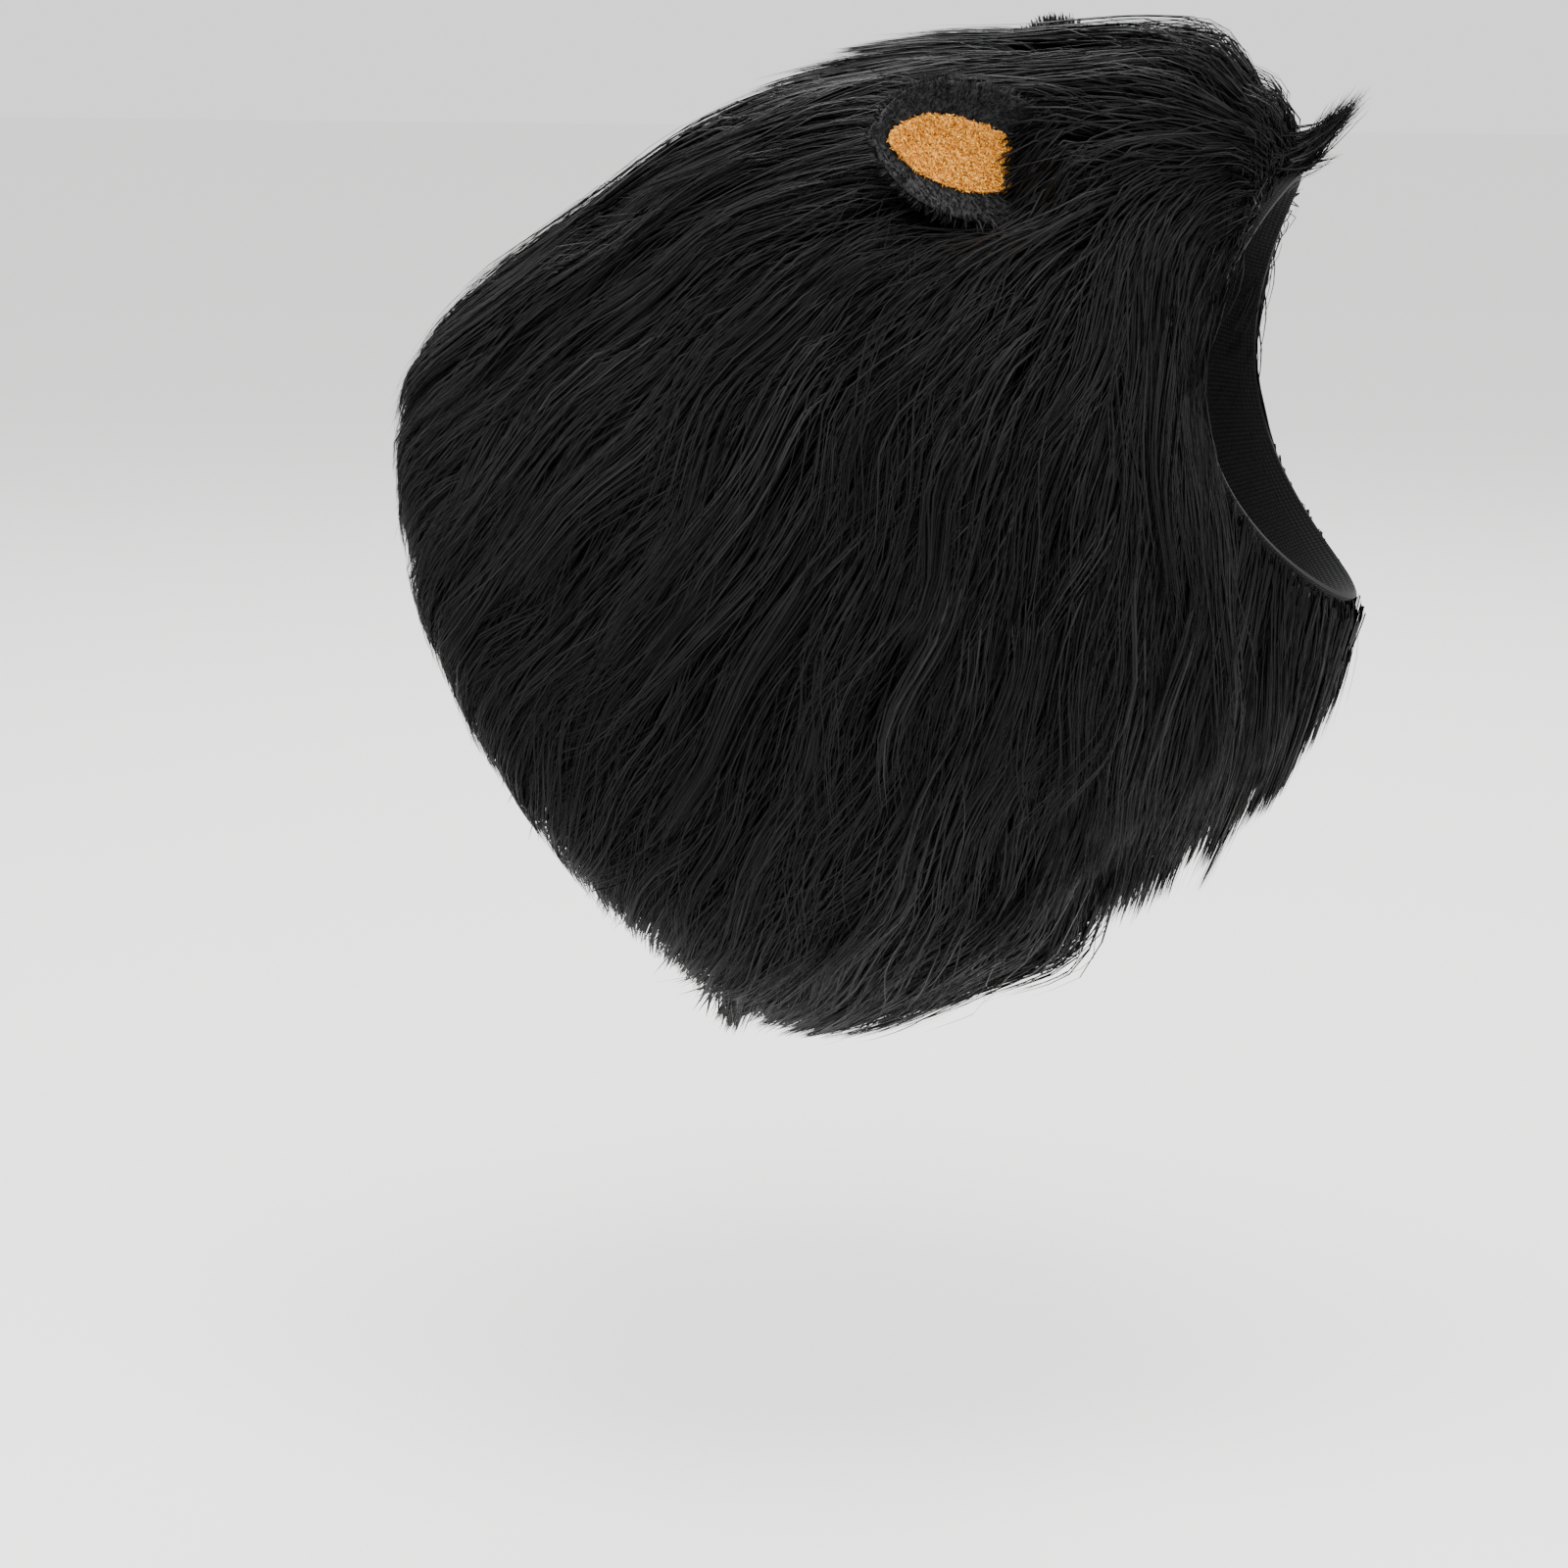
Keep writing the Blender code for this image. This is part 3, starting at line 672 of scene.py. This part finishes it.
def layer_hairs(layer):
    """The hairs of one layer: points, outward ways, widths, tones, rolls and the turn of each root."""
    count = layer["count"]
    roots = scattered_roots(count, -0.03, 1.20)
    places = fur_points(roots[:, 0], roots[:, 1], 1.0)
    lock = np.array([finder.find(place)[1] for place in places])
    own_locks = {name: values[lock] for name, values in locks.items()}
    own_locks["top"] = draw.uniform(*layer["lie"], count) * (0.4 + 0.6 * own_locks["top"] / 0.95)
    own_locks["length"] = own_locks["length"] * draw.uniform(0.78, 1.06, count)
    own_locks["drift"] = own_locks["drift"] + np.radians(draw.normal(0, layer["stray"], count))
    own_locks["end"] = own_locks["end"] + draw.uniform(-0.06, 0.02, count)
    own_locks["lid"] = np.maximum(own_locks["lid"], own_locks["top"] + 0.02)
    own_locks["lid"] = own_locks["lid"] + draw.uniform(-0.06, 0.05, count)
    points, outs, reach = comb(roots, own_locks)
    rings = layer["rings"]
    own = resample(points, reach, rings)
    guide = resample(lock_points[lock], lock_reach[lock], rings)
    share = np.linspace(0, 1, rings)[None, :]
    alike = np.clip(1.25 - np.abs(reach - lock_reach[lock]) / 8, 0, 1)[:, None]
    pull = lock_pulls[lock][:, None] * layer["pull"] * soft_step(share * 1.1) * alike
    joined = own * (1 - pull[..., None]) + guide * pull[..., None]
    taper = np.where(share < 0.55, 1.0, 1 - 0.85 * ((share - 0.55) / 0.45) ** 1.4)
    widths = layer["width"] * draw.uniform(0.75, 1.2, count)[:, None] * taper
    tones = np.clip(draw.beta(2.0, 2.6, count) + lock_tones[lock], 0, 1)
    roll = np.radians(draw.normal(0, 28, count))
    kept = reach > 3
    hairs = (joined, resample(outs, reach, rings), widths, tones, roll, roots[:, 1])
    return [values[kept] for values in hairs]


BLACK_HAIR = ((0.0, "#030303"), (0.45, "#090909"), (0.8, "#131314"), (1.0, "#202020"))
black_hair = hair_finish("black_acrylic_hair", BLACK_HAIR, 0.42)
# The turns, in sixths of the way round from the crown, at which the fur is parted into pieces.
FUR_PARTS = ("crown", "temple_right", "cheek_right", "throat", "cheek_left", "temple_left")
for layer_name, layer in HAIR_LAYERS.items():
    points, outs, widths, tones, roll, turns = layer_hairs(layer)
    part_of = np.floor(((turns / (2 * math.pi)) % 1) * 6 + 0.5).astype(int) % 6
    for number, part_name in enumerate(FUR_PARTS):
        chosen = part_of == number
        hairs = [values[chosen] for values in (points, outs, widths, tones, roll)]
        fur = ribbon_mesh("fur_" + part_name + "_" + layer_name, *hairs)
        dress(fur, black_hair, "long_pile", "mane_fur")

# The rim fringe
# Shorter hairs at the face rim, sewn in with the hem. They stand out over it all the way round and
# soften its edge, turning up and back over the forehead and down over the cheeks and the jaw.

RIM_HAIRS = 3800
RIM_RINGS = 7
RIM_HAIR_LENGTH = 0.058
SHORT_HAIR_WIDTH = 0.0009
RIM_LIFT = 0.42
# the ways in which the fringe starts and ends, on the cheeks and at the brow
CHEEK_WAYS = (np.array([0.02, 0, -0.85]), np.array([-0.38, 0, -0.92]))
BROW_WAYS = (np.array([0.30, 0, 0.3]), np.array([-0.9, 0, 0.25]))


def rim_hairs():
    """The fringe's lines and outward ways."""
    turn = draw.uniform(-math.pi, math.pi, RIM_HAIRS)
    station = draw.uniform(-0.012, 0.02, RIM_HAIRS)
    root = fur_points(station, turn, draw.uniform(0.0, 0.25 + 0.45 * np.clip(np.cos(turn), 0, 1)))
    out = unit(fur_points(station, turn, 1.0) - fur_points(station, turn, 0.0))
    brow = soft_step((np.cos(turn) - 0.62) / 0.38)[:, None]
    stray = draw.normal(0, 0.06, (RIM_HAIRS, 3))
    first = CHEEK_WAYS[0] * (1 - brow) + BROW_WAYS[0] * brow + out * RIM_LIFT + stray
    last = CHEEK_WAYS[1] * (1 - brow) + BROW_WAYS[1] * brow + stray
    first = unit(first)
    last = unit(last)
    length = RIM_HAIR_LENGTH * (1 - 0.25 * brow) * draw.uniform(0.5, 1.1, RIM_HAIRS)[:, None]
    length = length / (RIM_RINGS - 1)
    lines = [root]
    for ring in range(1, RIM_RINGS):
        share = soft_step(ring / (RIM_RINGS - 1) * 1.1)
        lines.append(lines[-1] + unit(first * (1 - share) + last * share) * length)
    return np.stack(lines, axis=1), np.repeat(out[:, None], RIM_RINGS, axis=1)


lines, outs = rim_hairs()
share = np.linspace(0, 1, RIM_RINGS)[None, :]
widths = SHORT_HAIR_WIDTH * draw.uniform(0.7, 1.2, RIM_HAIRS)[:, None] * (1 - 0.88 * share**1.5)
tones = draw.beta(2.0, 2.6, RIM_HAIRS)
roll = np.radians(draw.normal(0, 40, RIM_HAIRS))
rim = ribbon_mesh("fur_rim", lines, outs, widths, tones, roll)
dress(rim, black_hair, "long_pile", "mane_fur")

# The forelock
# A tuft of the same black hair over the forehead, brushed up and forward until its tips stand free.

FORELOCK_ROOT = Vector((0.092, 0.0, -0.016))
# hairs, reach ahead, aside and up from the root to the tip, and the spread at the root
FORELOCK_TIPS = (
    (380, (0.041, 0.004, 0.029), 0.0070),
    (190, (0.037, 0.000, 0.022), 0.0065),
    (170, (0.030, -0.006, 0.004), 0.0060),
)
FORELOCK_RINGS = 9
FORELOCK_SAG = np.array([0.25, 0.0, -0.97]) * 0.11
FORELOCK_OUT = np.array([-0.4, -0.5, 0.75])


def forelock_hairs():
    """All the tuft's hairs, drawn in to the few tips."""
    groups = []
    share = np.linspace(0, 1, FORELOCK_RINGS)[None, :, None]
    for count, tip, spread in FORELOCK_TIPS:
        tip = np.array(tip)
        scatter = draw.normal(0, spread, (count, 1, 3)) * np.array([1.0, 1.5, 0.8])
        scale = draw.uniform(0.66, 1.06, (count, 1, 1))
        sag = FORELOCK_SAG * np.linalg.norm(tip) * np.sin(math.pi * share)
        stray = draw.normal(0, 0.0027, (count, 1, 3)) * share**2
        lines = np.array(FORELOCK_ROOT) + tip * share * scale + sag + scatter * (1 - share) ** 1.1
        groups.append(lines + stray)
    return np.concatenate(groups)


points = forelock_hairs()
count = len(points)
share = np.linspace(0, 1, FORELOCK_RINGS)[None, :]
widths = SHORT_HAIR_WIDTH * draw.uniform(0.7, 1.2, count)[:, None] * (1 - 0.9 * share**1.5)
outs = np.tile(FORELOCK_OUT, (count, FORELOCK_RINGS, 1))
tones = draw.beta(2.0, 2.6, count)
roll = np.radians(draw.normal(0, 50, count))
forelock = ribbon_mesh("fur_forelock", points, outs, widths, tones, roll)
dress(forelock, black_hair, "long_pile", "mane_fur")

# The ears
# Two cupped ears of short black plush, cut double and sewn together round the rim, then sewn on at the
# crown. The pile is brushed out over the rims, and breaks into small tufts on the lower border.

PLUSH_FIBRES = 8500
PLUSH_LENGTH = 0.0038
PLUSH_FROM = 0.2
PLUSH_EDGE = 0.72
BORDER_DROP = 0.03
FIBRE_WIDTH = 0.0008
PLEATS = 50
EAR_MIDDLE = 0.60


def smooth_copy(node, name, levels):
    """A rounded copy of a solid: its loose triangles are merged and subdivided."""
    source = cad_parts[node]
    piece = bpy.data.objects.new(name, source.data.copy())
    bpy.context.scene.collection.objects.link(piece)
    bpy.ops.object.select_all(action="DESELECT")
    piece.select_set(True)
    bpy.context.view_layer.objects.active = piece
    bpy.ops.object.mode_set(mode="EDIT")
    bpy.ops.mesh.select_all(action="SELECT")
    bpy.ops.mesh.remove_doubles(threshold=0.00002)
    bpy.ops.mesh.tris_convert_to_quads()
    bpy.ops.object.mode_set(mode="OBJECT")
    rounding = piece.modifiers.new("rounding", "SUBSURF")
    rounding.levels = levels
    rounding.render_levels = levels
    bpy.ops.object.modifier_apply(modifier="rounding")
    bpy.ops.object.shade_smooth()
    return piece


def surface_samples(piece, count):
    """Points spread evenly over a piece's surface, with its normals."""
    mesh = piece.data
    mesh.calc_loop_triangles()
    corners = np.empty(len(mesh.loop_triangles) * 3, dtype=np.int32)
    mesh.loop_triangles.foreach_get("vertices", corners)
    places = np.empty(len(mesh.vertices) * 3)
    mesh.vertices.foreach_get("co", places)
    ways = np.empty(len(mesh.vertices) * 3)
    mesh.vertices.foreach_get("normal", ways)
    corners = corners.reshape(-1, 3)
    places = places.reshape(-1, 3)[corners]
    ways = ways.reshape(-1, 3)[corners]
    area = np.linalg.norm(np.cross(places[:, 1] - places[:, 0], places[:, 2] - places[:, 0]), axis=-1)
    chosen = draw.choice(len(area), count, p=area / area.sum())
    mix = draw.dirichlet((1, 1, 1), count)[..., None]
    return np.sum(places[chosen] * mix, axis=1), unit(np.sum(ways[chosen] * mix, axis=1))


def short_pile(name, points, normals, ways, lengths, tones):
    """Short bent fibres standing on a surface and lying over along ways."""
    share = np.linspace(0, 1, 4)[None, :, None]
    first = unit(normals * 0.8 + ways * 0.5)
    bend = unit(normals * 0.25 + ways)
    lengths = lengths[:, None, None]
    lines = points[:, None] + (first[:, None] * share + (bend - first)[:, None] * share**2 * 0.6) * lengths
    widths = FIBRE_WIDTH * draw.uniform(0.7, 1.2, len(points))[:, None] * np.array([1.0, 0.9, 0.65, 0.2])
    outs = np.repeat(unit(normals + 0.3 * draw.normal(0, 1, normals.shape))[:, None], 4, axis=1)
    return ribbon_mesh(name, lines, outs, widths, tones, draw.uniform(-1.5, 1.5, len(points)))


def pleats_of(points, ear):
    """Where points lie on the ear: angle round its middle, distance from it, and the wave of its pleats."""
    station, across, _ = ear_places(points, ear)
    outline = np.array(EAR_OUTLINE)
    half = np.interp(station, outline[:, 0], outline[:, 1]) * EAR_WIDTH
    long_way = (station - EAR_MIDDLE) * EAR_LENGTH
    wide_way = across * half
    angle = np.arctan2(wide_way, long_way)
    wave = np.cos(PLEATS * angle + 1.3 * swell(points, 0.020, 31))
    return angle, np.hypot(long_way, wide_way), wave


def plush_finish():
    """Black polyester plush: very matt, with fine pleats round the rim. Its colour runs with the height of
    the tufts and pleats: painted shade in the pleat grooves and between the tufts, and painted pale light on
    the tufts' tops.
    """
    material, tree, shader = new_finish("black_brushed_plush", 0.9, 0.15, 0.25)
    places = add_node(tree, "ShaderNodeTexCoord").outputs["Object"]
    tufts = pattern(tree, "ShaderNodeTexNoise", {"Scale": 420.0, "Detail": 4.0}, places)
    pleats = add_node(tree, "ShaderNodeAttribute", {"attribute_name": "pleats"}).outputs["Fac"]
    height = add_node(tree, "ShaderNodeMath", {"operation": "MULTIPLY"}, {0: tufts, 1: pleats}).outputs[0]
    # Painted shade and light: the plush is darkest in the pleat grooves and between the tufts, and palest on
    # the raised tufts.
    paint(tree, shader, height, ((0.1, "#050506"), (0.6, "#1c1c1e")), 0.8, 0.0014)
    return material


def vertex_places(piece):
    """The places of a piece's vertices, one row each."""
    flat = np.empty(len(piece.data.vertices) * 3)
    piece.data.vertices.foreach_get("co", flat)
    return flat.reshape(-1, 3)


PLUSH_FIBRE = ((0.0, "#070708"), (0.5, "#18181a"), (1.0, "#343437"))
plush = plush_finish()
plush_fibre = hair_finish("black_plush_fibre", PLUSH_FIBRE, 0.7)
for side_name, ear_row in EARS.items():
    ear = smooth_copy("ear_" + side_name, "plush_ear_" + side_name, 3)
    # The pleat pattern, which raises the plush and also paints shade into its grooves.
    pleats = ear.data.attributes.new("pleats", "FLOAT", "POINT")
    pleats.data.foreach_set("value", 0.55 + 0.45 * pleats_of(vertex_places(ear), ear_row)[2])
    dress(ear, plush, "ear_plush", "ear_" + side_name)
    points, normals = surface_samples(ear, PLUSH_FIBRES)
    root, along, facing, wide = ear_axes(ear_row)
    station, across, _ = ear_places(points, ear_row)
    angle, radius, wave = pleats_of(points, ear_row)
    outward = along * np.cos(angle)[:, None] + wide * np.sin(angle)[:, None]
    turned = wide * np.cos(angle)[:, None] - along * np.sin(angle)[:, None]
    ways = unit(outward + 0.25 * wave[:, None] * turned + 0.22 * draw.normal(0, 1, points.shape))
    edge = np.clip((np.abs(across) - PLUSH_EDGE) / (1 - PLUSH_EDGE), 0, 1)
    lower = np.clip((root[2] - points[:, 2]) / BORDER_DROP, 0, 1)
    lengths = PLUSH_LENGTH * (0.7 + edge * (0.4 + 1.1 * lower)) * (1 + 0.35 * wave)
    lengths = lengths * draw.uniform(0.75, 1.1, len(points))
    # The fibres' tones differ at random, and are also painted darker in the pleat grooves and lighter on the
    # crests, as shade and light.
    tones = np.clip(0.42 + 0.22 * wave + draw.normal(0, 0.14, len(points)), 0, 1)
    kept = station > PLUSH_FROM
    fibres = [values[kept] for values in (points, normals, ways, lengths, tones)]
    pile = short_pile("plush_pile_" + side_name, *fibres)
    dress(pile, plush_fibre, "ear_plush", "ear_" + side_name)

# The ear linings
# An oval of tan looped plush laid in each ear's cup and sewn down round its edge. Its short curled
# pile catches the light in small pale and brown grains.

LINING_CURLS = 6500
LINING_CURL_LENGTH = 0.0019
GRAIN = 0.0010


def tan_finish():
    """Tan looped plush: matt, with grains a little over a millimetre across, painted pale gold on their
    raised tops and brown in the hollows between them, as light and shade.
    """
    material, tree, shader = new_finish("tan_looped_plush", 0.88, 0.1, 0.2)
    places = add_node(tree, "ShaderNodeTexCoord").outputs["Object"]
    grain = pattern(tree, "ShaderNodeTexNoise", {"Scale": 0.6 / GRAIN, "Detail": 5.0}, places)
    # Painted light and shade: the lining is pale gold on the raised grains and brown in the hollows between
    # them, following their bump.
    paint(tree, shader, grain, ((0.30, "#794410"), (0.50, "#d28b2e"), (0.72, "#feb84a")), 0.9, 0.0009)
    return material


TAN_FIBRE = ((0.0, "#7d480f"), (0.35, "#c67f27"), (0.7, "#eba23d"), (1.0, "#ffd761"))
tan = tan_finish()
tan_fibre = hair_finish("tan_plush_fibre", TAN_FIBRE, 0.75)
for side_name, ear_row in EARS.items():
    lining = smooth_copy("ear_lining_" + side_name, "plush_lining_" + side_name, 2)
    dress(lining, tan, "tan_plush", "ear_lining_" + side_name)
    points, normals = surface_samples(lining, LINING_CURLS)
    grains = swell(points, 0.0025, 21)
    ways = unit(draw.normal(0, 1, points.shape))
    ways = unit(ways - normals * np.sum(ways * normals, axis=-1, keepdims=True))
    lengths = LINING_CURL_LENGTH * draw.uniform(0.7, 1.2, len(points))
    tones = np.clip(0.5 + 0.22 * grains + draw.normal(0, 0.14, len(points)), 0, 1)
    shown = normals @ ear_axes(ear_row)[2] > 0.1
    fibres = [values[shown] for values in (points, normals, ways, lengths, tones)]
    curls = short_pile("lining_curls_" + side_name, *fibres)
    dress(curls, tan_fibre, "tan_plush", "ear_lining_" + side_name)

# The floor, the light and the camera
# A plain pale floor, far enough down for the fur to hang clear as it does in wear, and soft boxes.

FLOOR_DROP = 0.66
FLOOR_SIZE = 30
STUDIO_BRIGHTNESS = 1.4
bpy.ops.mesh.primitive_plane_add(size=FLOOR_SIZE, location=(0, 0, -FLOOR_DROP))
floor = bpy.context.object
floor.name = "studio_floor"
paper = bpy.data.materials.new("pale_paper")
paper.use_nodes = True
paper.node_tree.nodes["Principled BSDF"].inputs["Base Color"].default_value = linear("#f6f6f5")
paper.node_tree.nodes["Principled BSDF"].inputs["Roughness"].default_value = 0.9
floor.data.materials.append(paper)

world = bpy.data.worlds.new("studio")
world.use_nodes = True
world.node_tree.nodes["Background"].inputs["Color"].default_value = (1.0, 1.0, 1.0, 1.0)
world.node_tree.nodes["Background"].inputs["Strength"].default_value = STUDIO_BRIGHTNESS
bpy.context.scene.world = world

# place, size and watts of each soft box, all turned towards the mane
SOFT_BOXES = (
    ((0.3, -1.4, 2.4), 1.5, 120),
    ((-2.0, -1.6, 1.2), 1.4, 60),
    ((2.2, -0.9, 0.9), 1.2, 45),
    ((-0.4, 2.4, 2.0), 2.0, 80),
)
MANE_MIDDLE = Vector((-0.09, 0.0, -0.19))
for number, (place, size, watts) in enumerate(SOFT_BOXES):
    light = bpy.data.lights.new("soft_box_" + str(number + 1), "AREA")
    light.energy = watts
    light.size = size
    box = bpy.data.objects.new(light.name, light)
    box.location = place
    box.rotation_euler = (MANE_MIDDLE - Vector(place)).to_track_quat("-Z", "Y").to_euler()
    bpy.context.scene.collection.objects.link(box)

CAMERA_AIM = Vector((-0.1112, -0.0897, -0.2983))
CAMERA_BACK = Vector((0.254, -0.948, 0.191)).normalized()
CAMERA_DISTANCE = 2.0
lens = bpy.data.cameras.new("studio_camera")
lens.lens = 100
lens.sensor_width = 36
camera = bpy.data.objects.new("studio_camera", lens)
camera.location = CAMERA_AIM + CAMERA_BACK * CAMERA_DISTANCE
camera.rotation_euler = (-CAMERA_BACK).to_track_quat("-Z", "Y").to_euler()
bpy.context.scene.collection.objects.link(camera)
bpy.context.scene.camera = camera
